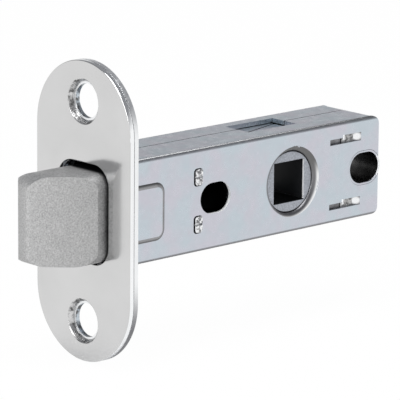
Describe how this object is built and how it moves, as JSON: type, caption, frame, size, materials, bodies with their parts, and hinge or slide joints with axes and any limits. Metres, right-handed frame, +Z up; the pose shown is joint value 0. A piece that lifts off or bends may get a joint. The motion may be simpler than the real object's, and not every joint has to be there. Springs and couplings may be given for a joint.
{
  "type": "tubular mortice latch",
  "caption": "Sprung mortice latch with a round-ended forend, bevelled bolt, folded steel case and square spindle follower.",
  "frame": {"origin": "middle of the forend, on its back face, which bears on the door's edge", "axes": "+X runs from the forend into the door along the case, the bolt points to -X; +Y across the door, to the side with the seam; +Z up along the forend"},
  "size_m": [0.0786, 0.0252, 0.0544],
  "materials": {
    "face_plate": "satin nickel plate",
    "backing_plate": "bright zinc plate",
    "case": "bright zinc plate, faintly blue",
    "inner_steel": "bright zinc plate",
    "bush": "bright zinc plate",
    "bolt": "sandblasted die casting",
    "rivets": "plain",
    "draw_bars": "bright zinc plate",
    "springs": "oiled spring wire",
    "follower": "plain die casting"
  },
  "bodies": {
    "case": {"face_plate": "face_plate", "backing_plate": "backing_plate", "case_near": "case", "case_far": "case", "spring_plate": "inner_steel", "rear_bush": "bush", "spring_anchor": "inner_steel", "bolt_spring": "springs", "return_spring_near": "springs", "return_spring_far": "springs"},
    "bolt": {"latch_bolt": "bolt", "bolt_rivets": "rivets", "draw_bar_near": "draw_bars", "draw_bar_far": "draw_bars"},
    "follower": {"follower": "follower"}
  },
  "joints": [
    {"name": "bolt_slide", "type": "slide", "parent": "case", "child": "bolt", "axis": [1, 0, 0], "range_m": [0, 0.011], "stiffness_N_per_m": 360, "springref_m": -0.011, "deforming": ["bolt_spring"]},
    {"name": "follower_turn", "type": "hinge", "parent": "case", "child": "follower", "pos_m": [0.0426, 0, 0], "axis": [0, 1, 0], "range_deg": [0, 74], "stiffness_Nm_per_rad": 0.05, "deforming": ["return_spring_near", "return_spring_far"]}
  ],
  "couplings": [
    {"joint": "follower_turn", "follows": "bolt_slide", "rad_per_m": 117.4}
  ]
}
